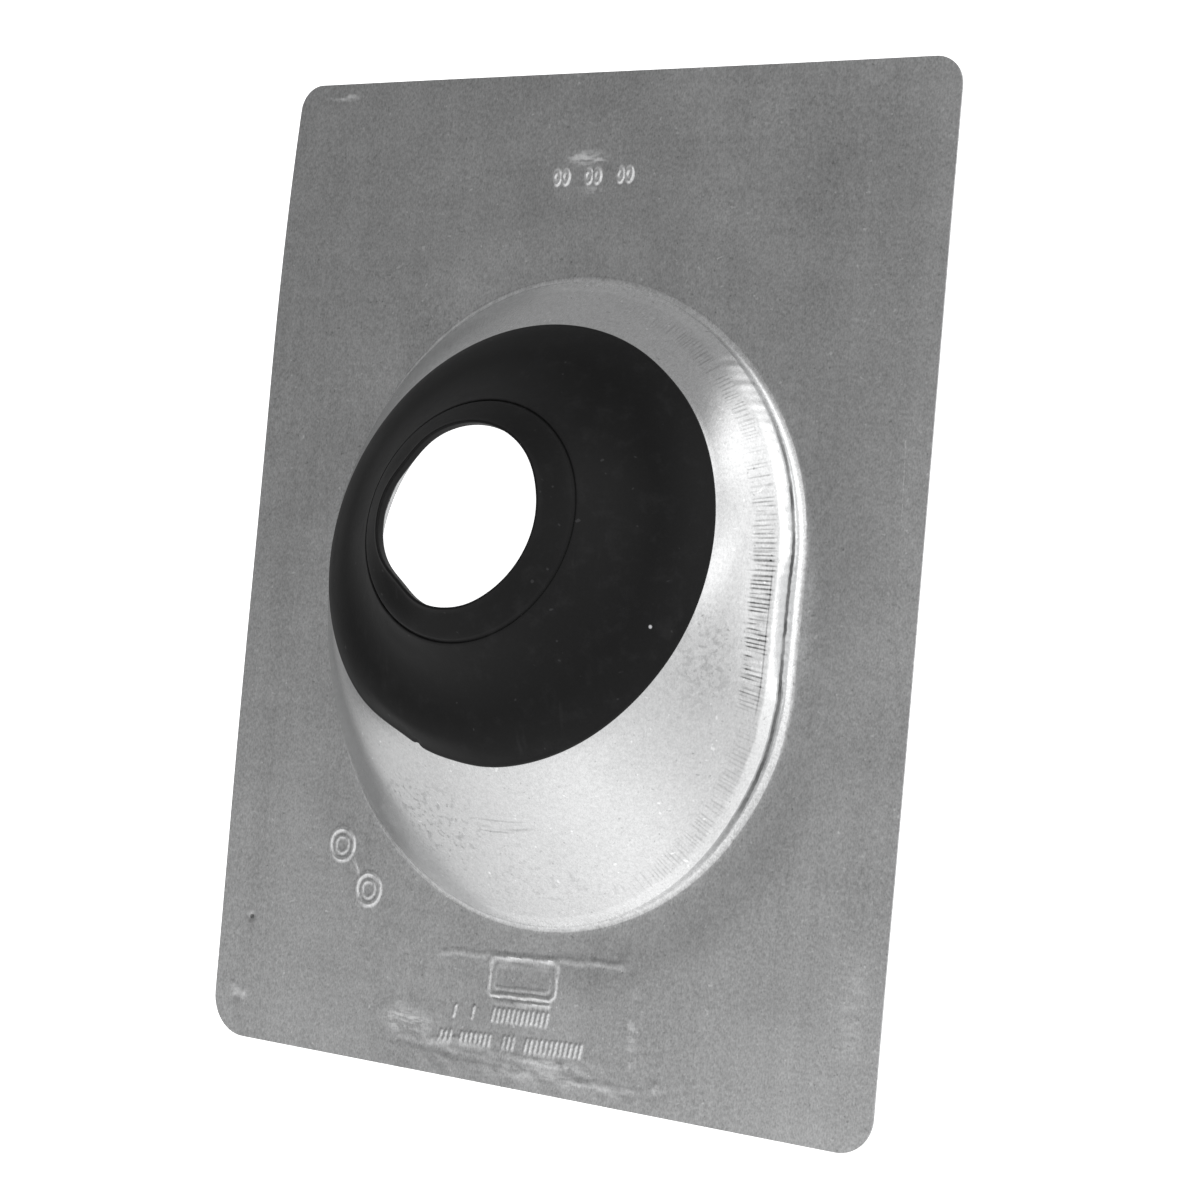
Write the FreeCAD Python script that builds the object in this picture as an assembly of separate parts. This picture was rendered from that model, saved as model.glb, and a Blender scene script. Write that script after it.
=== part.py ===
# Pipe flashing boot for a vent pipe through a pitched roof.
#
# Two separate pieces:
#   metal_base     one sheet-metal stamping: flat flange, drawn oval dome,
#                  crown and plunged opening with a hemmed rim
#   rubber_collar  one elastomer moulding: skirt on the crown, cone, scored
#                  tear-off ring and pipe seal lip
#
# Frame: origin on the underside of the flange at the middle of its rectangle,
# +X across the roof, +Y up the slope, +Z out of the roof. Millimetres.
import FreeCAD, Part
import os, math
from FreeCAD import Vector as V

# ---------------------------------------------------------------- dimensions
FLANGE_W = 317.5          # across the roof
FLANGE_L = 406.4          # up the slope
SHEET_T = 0.8             # sheet thickness
R_CORNER_TL = 11.0        # corner radii, seen from above with +Y up
R_CORNER_TR = 11.5
R_CORNER_BR = 14.5
R_CORNER_BL = 17.0
EDGE_BOW_START = 78.0     # the left edge runs in from here towards its top end
EDGE_BOW_IN = 4.1         # how far it has come in at the top left corner

# base outline of the dome, where its wall would meet the flange sharply:
# two half circles joined by short straights
BASE_R = 107.5
BASE_Y_TOP = 12.4         # centre of the up-slope half circle
BASE_Y_BOT = -31.4        # centre of the down-slope half circle
BASE_FILLET = 3.2         # bend from wall to flange, upper face

# crown circle, where dome wall, crown and collar edge meet
CROWN_R = 88.9
CROWN_Y = 11.7
CROWN_Z = 33.5
CROWN_TILT = 10.7         # degrees, leaning up the slope
AXIS_Y = 1.0              # the wall's sections all pass through this upright line

# dome wall section: a long soft arc from the crown circle down to the corner of
# a low upright step; at the two ends the arc is nearly straight, with no step
TURN_SIDE = 13.5          # half of the arc's turn at the sides, degrees
TURN_END = 1.5            # the same at the two ends
STEP_ANGLE = 87.0         # steepness of the step at the sides, degrees
STEP_RISE = 3.9           # its height at the sides, above the bend at its foot
STEP_CORNER_R = 1.8       # rounding of its upper corner

# crown and rim section, radius and height along the tilted axis
CROWN_SLOPE = 38.0        # degrees, from the crown circle inwards
CROWN_BREAK_R = 78.0      # end of the straight slope
CREST_R = 69.0            # start of the level ring
ROLL_R = 64.0             # start of the roll into the opening
LIP_R = 61.0              # inner face of the plunged lip
LIP_BOTTOM_H = 6.8        # centre of the hem's fold

# collar
HOLE_R = 36.0             # pipe seal, for a nominal 3 inch pipe
LAND_BOTTOM_H = 38.6      # the seal's cylindrical land
LAND_TOP_H = 41.6
RING_R = 47.3             # scored ring, torn out for a nominal 4 inch pipe
RING_H = 34.3
SCORE_W = 1.5
SCORE_DEPTH = 1.25

N_AROUND = 96             # sections round the dome
# points down each part of the wall section: arc, corner, step, foot bend
N_ARC, N_CORNER, N_STEP, N_FILLET = 14, 4, 4, 7

rad = math.radians


# ------------------------------------------------------------- dome geometry
CB, SB = math.cos(rad(CROWN_TILT)), math.sin(rad(CROWN_TILT))


def tilt(r, h, a):
    """Point at radius r, height h and angle a about the tilted crown axis."""
    x, y, z = r * math.cos(a), r * math.sin(a), h
    return V(x, CROWN_Y + y * CB + z * SB, CROWN_Z - y * SB + z * CB)


def base_radius(c, s):
    """Distance from the section line to the sharp base outline."""
    if abs(c) > 1e-9:
        k = BASE_R / abs(c)
        if BASE_Y_BOT <= AXIS_Y + k * s <= BASE_Y_TOP:
            return k
    y0 = AXIS_Y - (BASE_Y_TOP if s > 0 else BASE_Y_BOT)
    b = s * y0
    return -b + math.sqrt(b * b - y0 * y0 + BASE_R * BASE_R)


def section(a):
    """Sizes and angles of the wall section through crown circle angle a."""
    p = tilt(CROWN_R, 0.0, a)
    psi = math.atan2(p.y - AXIS_Y, p.x)
    c, s = math.cos(psi), math.sin(psi)
    rc, zc = math.hypot(p.x, p.y - AXIS_Y), p.z
    rb = base_radius(c, s)
    side = 1 - abs(s) ** 1.6
    half = rad(TURN_END + (TURN_SIDE - TURN_END) * (1 - s * s))
    end = math.atan2(zc - SHEET_T, rb - rc) + half
    for _ in range(40):
        step = end + rad(3) + (rad(STEP_ANGLE - 3) - end) * side
        tf = BASE_FILLET * math.tan(step / 2)
        rise = tf * math.sin(step) + 0.3 + STEP_RISE * side * zc / CROWN_Z
        r3, z3 = rb - rise / math.tan(step), SHEET_T + rise
        r2 = r3 - STEP_CORNER_R * (math.sin(step) - math.sin(end))
        z2 = z3 + STEP_CORNER_R * (math.cos(end) - math.cos(step))
        chord = math.atan2(zc - z2, r2 - rc)
        end = chord + half
    start = chord - half
    big = math.hypot(zc - z2, r2 - rc) / (2 * math.sin(half))
    return c, s, rc, zc, rb, start, end, step, big, r2, z2, r3, z3, tf


def wall_point(a, w):
    """Upper face of the dome wall: w is 0 to 1 down the arc, to 2 round the
    corner, to 3 down the step and to 4 round the bend at its foot."""
    c, s, rc, zc, rb, start, end, step, big, r2, z2, r3, z3, tf = section(a)
    if w <= 1:
        t = start + (end - start) * w
        r = rc + big * (math.sin(t) - math.sin(start))
        z = zc - big * (math.cos(start) - math.cos(t))
    elif w <= 2:
        t = end + (step - end) * (w - 1)
        r = r2 + STEP_CORNER_R * (math.sin(t) - math.sin(end))
        z = z2 - STEP_CORNER_R * (math.cos(end) - math.cos(t))
    elif w <= 3:
        q = (w - 2) * ((z3 - SHEET_T) / math.sin(step) - tf)
        r, z = r3 + q * math.cos(step), z3 - q * math.sin(step)
    else:
        t = step * (4 - w)
        r = rb + tf - BASE_FILLET * math.sin(t)
        z = SHEET_T + BASE_FILLET * (1 - math.cos(t))
    return V(r * c, AXIS_Y + r * s, z)


def outward(a, part, q):
    """Unit normal of the wall, away from the sheet, q along one part of it."""
    e = 1e-4
    q = min(max(q, 2 * e), 1 - 2 * e)
    w = part + q
    da = wall_point(a + e, w) - wall_point(a - e, w)
    dw = wall_point(a, w + e) - wall_point(a, w - e)
    n = dw.cross(da)
    n.normalize()
    return n


def periodic_poles(points):
    """Poles of the closed uniform cubic that passes through the points."""
    n = len(points)
    p = [V(q) for q in points]
    for _ in range(80):
        p = [(points[i] * 6 - p[i - 1] - p[(i + 1) % n]) * 0.25 for i in range(n)]
    return p[-1:] + p[:-1]              # the surface then starts at the first point


def surface(rows):
    """Smooth face through closed rings of points, from the first ring to the last."""
    step = [sum((rows[j + 1][i] - rows[j][i]).Length for i in range(N_AROUND)) / N_AROUND
            for j in range(len(rows) - 1)]
    par = [0.0]
    for q in step:
        par.append(par[-1] + q)
    cols = list(zip(*[periodic_poles(r) for r in rows]))
    grid, curve = [], None
    for col in cols:
        curve = Part.BSplineCurve()
        curve.interpolate(Points=list(col), Parameters=par)
        grid.append(curve.getPoles())
    s = Part.BSplineSurface()
    s.buildFromPolesMultsKnots(grid, [1] * (N_AROUND + 1), curve.getMultiplicities(),
                               [float(i) for i in range(N_AROUND + 1)], curve.getKnots(),
                               True, False, 3, 3)
    return s.toShape()


angles = [2 * math.pi * i / N_AROUND for i in range(N_AROUND)]

# upper faces, ring by ring, part by part
COUNTS = (N_ARC, N_CORNER, N_STEP, N_FILLET)
up_rows = [[[wall_point(a, k + j / (n - 1)) for a in angles] for j in range(n)]
           for k, n in enumerate(COUNTS)]

# lower faces: one sheet thickness below
crown_n = (math.sin(rad(CROWN_SLOPE)), math.cos(rad(CROWN_SLOPE)))
LOW_R = CROWN_R - SHEET_T * crown_n[0]
LOW_H = -SHEET_T * crown_n[1]
lo_rows = [[[up_rows[k][j][i] - outward(a, k, j / (n - 1)) * SHEET_T for i, a in enumerate(angles)]
            for j in range(n)] for k, n in enumerate(COUNTS)]
lo_rows[0][0] = [tilt(LOW_R, LOW_H, a) for a in angles]
for k in (1, 2, 3):
    lo_rows[k][0] = lo_rows[k - 1][-1]
    up_rows[k][0] = up_rows[k - 1][-1]
for q in up_rows[3][-1]:
    q.z = SHEET_T
lo_rows[3][-1] = [V(q.x, q.y, 0.0) for q in up_rows[3][-1]]

f_up = [surface(r) for r in up_rows]
f_lo = [surface(r) for r in lo_rows]


def ring_edge(face, z):
    """The face's closed edge that lies flat at height z."""
    for e in face.Edges:
        b = e.BoundBox
        if abs(b.ZMin - z) < 1e-4 and abs(b.ZMax - z) < 1e-4:
            return e
    raise ValueError("no flat edge")


# ------------------------------------------------------------ flange outline
def flange_outline(z):
    x, y = FLANGE_W / 2, FLANGE_L / 2
    # left edge's curved end: a large arc, tangent to the straight edge
    rise = y - EDGE_BOW_START - R_CORNER_TL
    bow_r = rise * rise / (2 * EDGE_BOW_IN)
    bow_c = V(-x + bow_r, EDGE_BOW_START, z)
    # corner arc tangent to the bow and to the top edge
    cy = y - R_CORNER_TL
    cx = bow_c.x - math.sqrt((bow_r - R_CORNER_TL) ** 2 - (cy - EDGE_BOW_START) ** 2)
    d = V(cx - bow_c.x, cy - bow_c.y, 0)
    d.normalize()
    p_in = bow_c + d * bow_r
    m = V(-x, EDGE_BOW_START, z) - bow_c
    m.normalize()
    mid = m + d
    mid.normalize()
    cm = d + V(0, 1, 0)
    cm.normalize()
    c_tl = V(cx, cy, z)
    pts = []
    edges = [
        Part.LineSegment(V(-x, -y + R_CORNER_BL, z), V(-x, EDGE_BOW_START, z)).toShape(),
        Part.Arc(V(-x, EDGE_BOW_START, z), bow_c + mid * bow_r, p_in).toShape(),
        Part.Arc(p_in, c_tl + cm * R_CORNER_TL, V(cx, y, z)).toShape(),
        Part.LineSegment(V(cx, y, z), V(x - R_CORNER_TR, y, z)).toShape(),
    ]

    def corner(cx, cy, r, a0):
        p = [V(cx + r * math.cos(rad(a0 - k)), cy + r * math.sin(rad(a0 - k)), z)
             for k in (0, 45, 90)]
        return Part.Arc(*p).toShape(), p

    e, p = corner(x - R_CORNER_TR, y - R_CORNER_TR, R_CORNER_TR, 90)
    edges += [e]
    e2, q = corner(x - R_CORNER_BR, -y + R_CORNER_BR, R_CORNER_BR, 0)
    edges += [Part.LineSegment(p[2], q[0]).toShape(), e2]
    e3, w = corner(-x + R_CORNER_BL, -y + R_CORNER_BL, R_CORNER_BL, -90)
    edges += [Part.LineSegment(q[2], w[0]).toShape(), e3]
    return Part.Wire(Part.__sortEdges__(edges))


out_lo = flange_outline(0.0)
sides = out_lo.extrude(V(0, 0, SHEET_T))
top_wire = [e for e in sides.Edges if abs(e.BoundBox.ZMin - SHEET_T) < 1e-6
            and abs(e.BoundBox.ZMax - SHEET_T) < 1e-6]
out_up = Part.Wire(Part.__sortEdges__(top_wire))


def plate(outer, hole_edge):
    f = Part.Face([outer, Part.Wire([hole_edge])])
    if not f.isValid():
        f.fix(1e-6, 1e-6, 1e-4)
    return f


f_top = plate(out_up, ring_edge(f_up[3], SHEET_T))
f_bot = plate(out_lo, ring_edge(f_lo[3], 0.0))

# ------------------------------------------------------------- crown and rim
# profile in the plane of the tilted axis: x is radius, z is height
def P(r, h):
    return V(r, 0, h)


def line(p, q):
    return Part.LineSegment(p, q).toShape()


def arc(p, m, q):
    return Part.Arc(p, m, q).toShape()


tan_c, sin_c, cos_c = math.tan(rad(CROWN_SLOPE)), math.sin(rad(CROWN_SLOPE)), math.cos(rad(CROWN_SLOPE))
BREAK_H = (CROWN_R - CROWN_BREAK_R) * tan_c
CREST_ARC = (CROWN_BREAK_R - CREST_R) / sin_c           # radius of the crest bend
CREST_H = BREAK_H + CREST_ARC * (1 - cos_c)
ROLL = ROLL_R - LIP_R                                   # outer radius of the roll
ROLL_CH = CREST_H - ROLL
t = SHEET_T


def crest(r_off, ang):
    """Point of the crest bend, r_off inside the upper face, ang from the axis."""
    return P(CREST_R + (CREST_ARC - r_off) * math.sin(ang),
             CREST_H - CREST_ARC + (CREST_ARC - r_off) * math.cos(ang))


def roll(r_off, ang):
    return P(ROLL_R - (ROLL - r_off) * math.sin(ang), ROLL_CH + (ROLL - r_off) * math.cos(ang))


half = rad(CROWN_SLOPE / 2)
HEM_TOP_H = ROLL_CH - 0.35
up = [
    line(P(CROWN_R, 0), P(CROWN_BREAK_R, BREAK_H)),
    arc(P(CROWN_BREAK_R, BREAK_H), crest(0, half), P(CREST_R, CREST_H)),
    line(P(CREST_R, CREST_H), P(ROLL_R, CREST_H)),
    arc(P(ROLL_R, CREST_H), roll(0, rad(45)), P(LIP_R, ROLL_CH)),
    # the hem: the edge folded inwards and up against the lip, its cut end showing
    line(P(LIP_R, ROLL_CH), P(LIP_R, HEM_TOP_H - 0.35)),
    line(P(LIP_R, HEM_TOP_H - 0.35), P(LIP_R - 0.25, HEM_TOP_H)),
    line(P(LIP_R - 0.25, HEM_TOP_H), P(LIP_R - t, HEM_TOP_H)),
    line(P(LIP_R - t, HEM_TOP_H), P(LIP_R - t, LIP_BOTTOM_H)),
    arc(P(LIP_R - t, LIP_BOTTOM_H), P(LIP_R, LIP_BOTTOM_H - t), P(LIP_R + t, LIP_BOTTOM_H)),
    line(P(LIP_R + t, LIP_BOTTOM_H), P(LIP_R + t, ROLL_CH)),
    arc(P(LIP_R + t, ROLL_CH), roll(t, rad(45)), P(ROLL_R, CREST_H - t)),
    line(P(ROLL_R, CREST_H - t), P(CREST_R, CREST_H - t)),
    arc(P(CREST_R, CREST_H - t), crest(t, half), crest(t, rad(CROWN_SLOPE))),
    line(crest(t, rad(CROWN_SLOPE)), P(LOW_R, LOW_H)),
]

# placing of everything that turns about the tilted axis
TILTED = FreeCAD.Placement(V(0, CROWN_Y, CROWN_Z), FreeCAD.Rotation(V(1, 0, 0), -CROWN_TILT))


def high_edge(face):
    """The wall's closed edge on the crown circle."""
    loops = [e for e in face.Edges if len(e.Vertexes) == 1]
    return max(loops, key=lambda e: e.BoundBox.ZMax)


crown_faces = []
for e in up[1:-1]:
    s = e.revolve(V(0, 0, 0), V(0, 0, 1), 360)
    s.Placement = TILTED
    crown_faces += s.Faces


def band(edge, r, h):
    """Straight-sided band from a wall's edge to the circle of radius r at height h."""
    c = Part.Circle(V(0, 0, h), V(0, 0, 1), r).toShape()
    c.Placement = TILTED
    f = Part.makeRuledSurface(edge, c)
    return f.Faces[0]


low_break = crest(t, rad(CROWN_SLOPE))
crown_faces += [band(high_edge(f_up[0]), CROWN_BREAK_R, BREAK_H),
                band(high_edge(f_lo[0]), low_break.x, low_break.z)]

faces = f_up + f_lo + [f_top, f_bot] + sides.Faces + crown_faces
sheet = Part.makeCompound(faces)
sheet.sewShape(0.002)
shells = sheet.Shells
if len(shells) != 1 or not shells[0].isClosed():
    raise ValueError("metal base did not close: %d shells" % len(shells))
metal_base = Part.makeSolid(shells[0])
if metal_base.Volume < 0:
    metal_base.reverse()

# -------------------------------------------------------------------- collar
# skirt and cone, outer face, from the edge up to the score
outer_pts = [P(88.15, 2.75), P(86.4, 4.6), P(83.4, 7.3), P(80.0, 9.75), P(76.0, 12.15),
             P(72.8, 13.75), P(70.2, 15.0), P(66.6, 17.0), P(63.0, 19.35), P(59.0, 22.45),
             P(55.0, 26.1), P(51.4, 29.8), P(48.2, 33.35)]
s_in = rad(36.7)                      # slope between the score and the lip
ring_in = P(RING_R - SCORE_W / 2, RING_H + (SCORE_W / 2) * math.tan(s_in))
score_low = P(RING_R + 0.15, RING_H - SCORE_DEPTH)
lip_out = P(37.3, ring_in.z + (ring_in.x - 37.3) * math.tan(s_in))
# inner face, from the seal back out to the crown
inner_pts = [P(44.9, 32.75), P(46.35, 31.45), P(49.4, 28.0), P(53.0, 24.2), P(57.15, 20.35),
             P(61.3, 17.05), P(64.2, 14.85), P(66.2, 13.0)]


def spline(pts, t0=None, t1=None):
    c = Part.BSplineCurve()
    if t0 is None:
        c.interpolate(Points=pts)
    else:
        c.interpolate(Points=pts, InitialTangent=t0, FinalTangent=t1)
    return c.toShape()


def unit(dr, dh):
    v = V(dr, 0, dh)
    v.normalize()
    return v


EDGE_R0 = 88.5
edge_low = P(EDGE_R0, (CROWN_R - EDGE_R0) * tan_c)
FOOT_R = 67.4                          # inner end of the skirt's seat on the crown
profile = [
    # outer edge of the skirt
    arc(edge_low, P(CROWN_R, 1.25), outer_pts[0]),
    spline(outer_pts),
    # score for the tear-off ring
    line(outer_pts[-1], score_low),
    line(score_low, ring_in),
    line(ring_in, lip_out),
    # seal lip with its cylindrical land
    arc(lip_out, P(36.35, 42.27), P(HOLE_R, LAND_TOP_H)),
    line(P(HOLE_R, LAND_TOP_H), P(HOLE_R, LAND_BOTTOM_H)),
    arc(P(HOLE_R, LAND_BOTTOM_H), P(36.45, 37.75), P(37.4, 37.4)),
    spline([P(37.4, 37.4), P(38.8, 37.05), P(40.6, 35.95), inner_pts[0]]),
    spline(inner_pts),
    # foot on the crown
    line(inner_pts[-1], P(FOOT_R, CREST_H)),
    line(P(FOOT_R, CREST_H), P(CREST_R, CREST_H)),
    arc(P(CREST_R, CREST_H), crest(0, half), P(CROWN_BREAK_R, BREAK_H)),
    line(P(CROWN_BREAK_R, BREAK_H), edge_low),
]
w = Part.Wire(Part.__sortEdges__(profile))
if not w.isClosed():
    raise ValueError("collar profile is open")
rubber_collar = Part.Face(w).revolve(V(0, 0, 0), V(0, 0, 1), 360)
rubber_collar.Placement = TILTED
if rubber_collar.ShapeType != "Solid":
    rubber_collar = rubber_collar.Solids[0]

# ------------------------------------------------------------------- writing
os.makedirs("parts", exist_ok=True)
for name, shape in (("metal_base", metal_base), ("rubber_collar", rubber_collar)):
    if not shape.isValid() or len(shape.Solids) != 1:
        raise ValueError("%s is not one valid solid" % name)
    b = shape.BoundBox
    print("%s: volume %.1f mm3, X %.2f..%.2f Y %.2f..%.2f Z %.2f..%.2f, %d faces"
          % (name, shape.Volume, b.XMin, b.XMax, b.YMin, b.YMax, b.ZMin, b.ZMax, len(shape.Faces)))
    shape.exportStep("parts/%s.step" % name)
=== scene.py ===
import math
import bpy
import numpy as np
from mathutils import Matrix, Vector
from mathutils.geometry import delaunay_2d_cdt


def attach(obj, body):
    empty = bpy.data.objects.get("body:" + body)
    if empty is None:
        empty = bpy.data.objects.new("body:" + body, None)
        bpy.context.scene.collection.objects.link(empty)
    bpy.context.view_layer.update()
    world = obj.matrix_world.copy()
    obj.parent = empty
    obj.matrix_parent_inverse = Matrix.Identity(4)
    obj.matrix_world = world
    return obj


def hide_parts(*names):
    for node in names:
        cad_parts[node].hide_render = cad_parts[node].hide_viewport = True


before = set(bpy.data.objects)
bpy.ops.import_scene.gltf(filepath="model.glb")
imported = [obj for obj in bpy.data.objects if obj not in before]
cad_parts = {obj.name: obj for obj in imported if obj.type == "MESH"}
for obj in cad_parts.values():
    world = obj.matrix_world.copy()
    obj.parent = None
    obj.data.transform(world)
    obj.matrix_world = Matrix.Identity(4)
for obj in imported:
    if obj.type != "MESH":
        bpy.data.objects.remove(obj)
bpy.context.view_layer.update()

MM = 0.001
scene = bpy.context.scene

# ------------------------------------------------------------------ camera
# the part lies on its flange; the camera looks down on it from the right
cam_data = bpy.data.cameras.new("camera")
cam = bpy.data.objects.new("camera", cam_data)
scene.collection.objects.link(cam)
cam_data.sensor_width = 36.0
cam_data.lens = 82.858
cam_data.clip_start, cam_data.clip_end = 0.05, 20.0
right = Vector((0.834037, 0.087111, -0.544788))
down = Vector((0.063474, -0.996050, -0.062093))
ahead = Vector((-0.548045, 0.017209, -0.836272))
rot = Matrix((right, -down, -ahead)).transposed()
cam.matrix_world = Matrix.Translation(Vector((0.6157873, -0.0257960, 0.9107723))) @ rot.to_4x4()
scene.camera = cam

# --------------------------------------------------------------- dimensions
# the same driving sizes as the CAD part, in millimetres
SHEET_T = 0.8
FLANGE_W, FLANGE_L = 317.5, 406.4
R_TL, R_TR, R_BR, R_BL = 11.0, 11.5, 14.5, 17.0
BOW_START, BOW_IN = 78.0, 4.1
BASE_R, BASE_Y_TOP, BASE_Y_BOT, BASE_FILLET = 107.5, 12.4, -31.4, 3.2
CROWN_R, CROWN_Y, CROWN_Z, CROWN_TILT = 88.9, 11.7, 33.5, 10.7
AXIS_Y = 1.0
TURN_SIDE, TURN_END, STEP_ANGLE, STEP_RISE, STEP_CORNER_R = 13.5, 1.5, 87.0, 3.9, 1.8
CROWN_SLOPE = math.radians(38.0)
CROWN_BREAK_R, CREST_R, ROLL_R, LIP_R, LIP_BOTTOM_H = 78.0, 69.0, 64.0, 61.0, 6.8
CB, SB = math.cos(math.radians(CROWN_TILT)), math.sin(math.radians(CROWN_TILT))


def tilt(r, h, a):
    """Points at radius r, height h and angle a about the tilted crown axis."""
    x, y = r * np.cos(a), r * np.sin(a)
    return np.stack([x, CROWN_Y + y * CB + h * SB, CROWN_Z - y * SB + h * CB + 0 * x], -1)


def smooth01(x):
    x = np.clip(x, 0, 1)
    return x * x * (3 - 2 * x)


# ------------------------------------------------------------ dome geometry
def section(a):
    p = tilt(CROWN_R, 0.0, a)
    psi = np.arctan2(p[:, 1] - AXIS_Y, p[:, 0])
    c, s = np.cos(psi), np.sin(psi)
    rc, zc = np.hypot(p[:, 0], p[:, 1] - AXIS_Y), p[:, 2]
    k = BASE_R / np.maximum(np.abs(c), 1e-9)
    yk = AXIS_Y + k * s
    straight = (yk >= BASE_Y_BOT) & (yk <= BASE_Y_TOP)
    y0 = AXIS_Y - np.where(s > 0, BASE_Y_TOP, BASE_Y_BOT)
    b = s * y0
    rb = np.where(straight, k, -b + np.sqrt(b * b - y0 * y0 + BASE_R ** 2))
    side = 1 - np.abs(s) ** 1.6
    half = np.radians(TURN_END + (TURN_SIDE - TURN_END) * (1 - s * s))
    end = np.arctan2(zc - SHEET_T, rb - rc) + half
    for _ in range(40):
        step = end + math.radians(3) + (math.radians(STEP_ANGLE - 3) - end) * side
        tf = BASE_FILLET * np.tan(step / 2)
        rise = tf * np.sin(step) + 0.3 + STEP_RISE * side * zc / CROWN_Z
        r3, z3 = rb - rise / np.tan(step), SHEET_T + rise
        r2 = r3 - STEP_CORNER_R * (np.sin(step) - np.sin(end))
        z2 = z3 + STEP_CORNER_R * (np.cos(end) - np.cos(step))
        chord = np.arctan2(zc - z2, r2 - rc)
        end = chord + half
    start = chord - half
    big = np.hypot(zc - z2, r2 - rc) / (2 * np.sin(half))
    return dict(c=c, s=s, rc=rc, zc=zc, rb=rb, start=start, end=end, step=step, big=big, r2=r2, z2=z2, r3=r3, z3=z3,
                tf=tf, psi=psi, l1=big * (end - start), l2=STEP_CORNER_R * (step - end),
                l3=(z3 - SHEET_T) / np.sin(step) - tf, l4=BASE_FILLET * step)


def wall_at(q, part, w):
    """Upper face of the wall, w along its part: 0 arc, 1 corner, 2 step, 3 bend at the foot. Radius, height, distance."""
    if part == 0:
        t = q["start"] + (q["end"] - q["start"]) * w
        return q["rc"] + q["big"] * (np.sin(t) - np.sin(q["start"])), q["zc"] - q["big"] * (np.cos(q["start"]) - np.cos(t)), q["l1"] * w
    if part == 1:
        t = q["end"] + (q["step"] - q["end"]) * w
        return (q["r2"] + STEP_CORNER_R * (np.sin(t) - np.sin(q["end"])), q["z2"] - STEP_CORNER_R * (np.cos(q["end"]) - np.cos(t)),
                q["l1"] + q["l2"] * w)
    if part == 2:
        d = q["l3"] * w
        return q["r3"] + d * np.cos(q["step"]), q["z3"] - d * np.sin(q["step"]), q["l1"] + q["l2"] + d
    t = q["step"] * (1 - w)
    return (q["rb"] + q["tf"] - BASE_FILLET * np.sin(t), SHEET_T + BASE_FILLET * (1 - np.cos(t)),
            q["l1"] + q["l2"] + q["l3"] + q["l4"] * w)


def place(q, r, z):
    return np.stack([r * q["c"], AXIS_Y + r * q["s"], z], -1)


# columns round the dome, closer together along the sides
N = 840
u = np.arange(N) * 2 * math.pi / N
ang = u - 0.33 * np.sin(2 * u)
Q = section(ang)
TOTAL = Q["l1"] + Q["l2"] + Q["l3"] + Q["l4"]


def normals(P):
    """Outward unit normals of a ring grid (rows, columns, 3), rows running outwards and down."""
    dr = np.gradient(P, axis=0)
    dc = (np.roll(P, -1, 1) - np.roll(P, 1, 1))
    n = np.cross(dr, dc)
    return n / np.maximum(np.linalg.norm(n, axis=-1, keepdims=True), 1e-12)


class Rings:
    """Builds one closed quad mesh out of rings of N points."""

    def __init__(self):
        self.v, self.f, self.m, self.n = [], [], [], 0

    def points(self, P):
        P = np.asarray(P, float).reshape(-1, 3)
        i = self.n + np.arange(len(P))
        self.v.append(P)
        self.n += len(P)
        return i

    def strip(self, a, b, mat=0):
        a2, b2 = np.roll(a, -1), np.roll(b, -1)
        self.f.extend(np.stack([a, a2, b2, b], 1).tolist())
        self.m.extend([mat] * len(a))


rng = np.random.default_rng(7)

# upper face of the wall, row by row from the crown circle down
STEPS = [(0, w) for w in np.linspace(0, 1, 17)[:-1]] + [(1, w) for w in np.linspace(0, 1, 5)[:-1]]
STEPS += [(2, w) for w in np.linspace(0, 1, 5)[:-1]] + [(3, w) for w in np.linspace(0, 1, 9)]
upper, upper_d = [], []
for part, w in STEPS:
    r_, z_, d_ = wall_at(Q, part, w)
    upper.append(place(Q, r_, z_))
    upper_d.append(d_)
upper, upper_d = np.array(upper), np.array(upper_d)
upper_n = normals(upper)

# ---- what drawing and handling did to the dome, as offsets along the face's normal
off = np.zeros(upper.shape[:2])
side_y = upper[:, :, 1]
MIDROW = 16                                   # the row at the corner of the step
path = np.concatenate([[0], np.cumsum(np.linalg.norm(np.roll(upper[MIDROW], -1, 0) - upper[MIDROW], axis=1))])
round_len, path = path[-1], path[:-1]
sd = Q["l1"] - upper_d                        # distance above the corner of the step


def pulses(centre, spread, pitch, depth, d_mid, d_half, width, seed):
    """Short draw marks across the lower slope: many narrow grooves round a stretch of the path."""
    r = np.random.default_rng(seed)
    out = np.zeros_like(off)
    s = centre - spread
    while s < centre + spread:
        fade = 1 - abs(s - centre) / spread
        amp = depth * (0.30 + 0.70 * r.random()) * min(1.0, fade * 3.0)
        mid = d_mid + r.normal(0, 0.7)
        half = d_half * (0.65 + 0.55 * r.random())
        w = width * (0.7 + 0.6 * r.random())
        ds = (path - s + round_len / 2) % round_len - round_len / 2
        near = np.abs(ds) < 4 * w
        g = np.exp(-(ds[near] / w) ** 2)
        win = smooth01((half - np.abs(sd[:, near] - mid)) / 2.0 + 0.5)
        out[:, near] -= amp * g[None, :] * win
        s += pitch * (0.55 + 0.9 * r.random())
    return out


def path_at(y, right=True):
    m = (upper[MIDROW][:, 0] > 0) == right
    i = np.where(m)[0][np.argmin(np.abs(upper[MIDROW][m][:, 1] - y))]
    return path[i]


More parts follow.
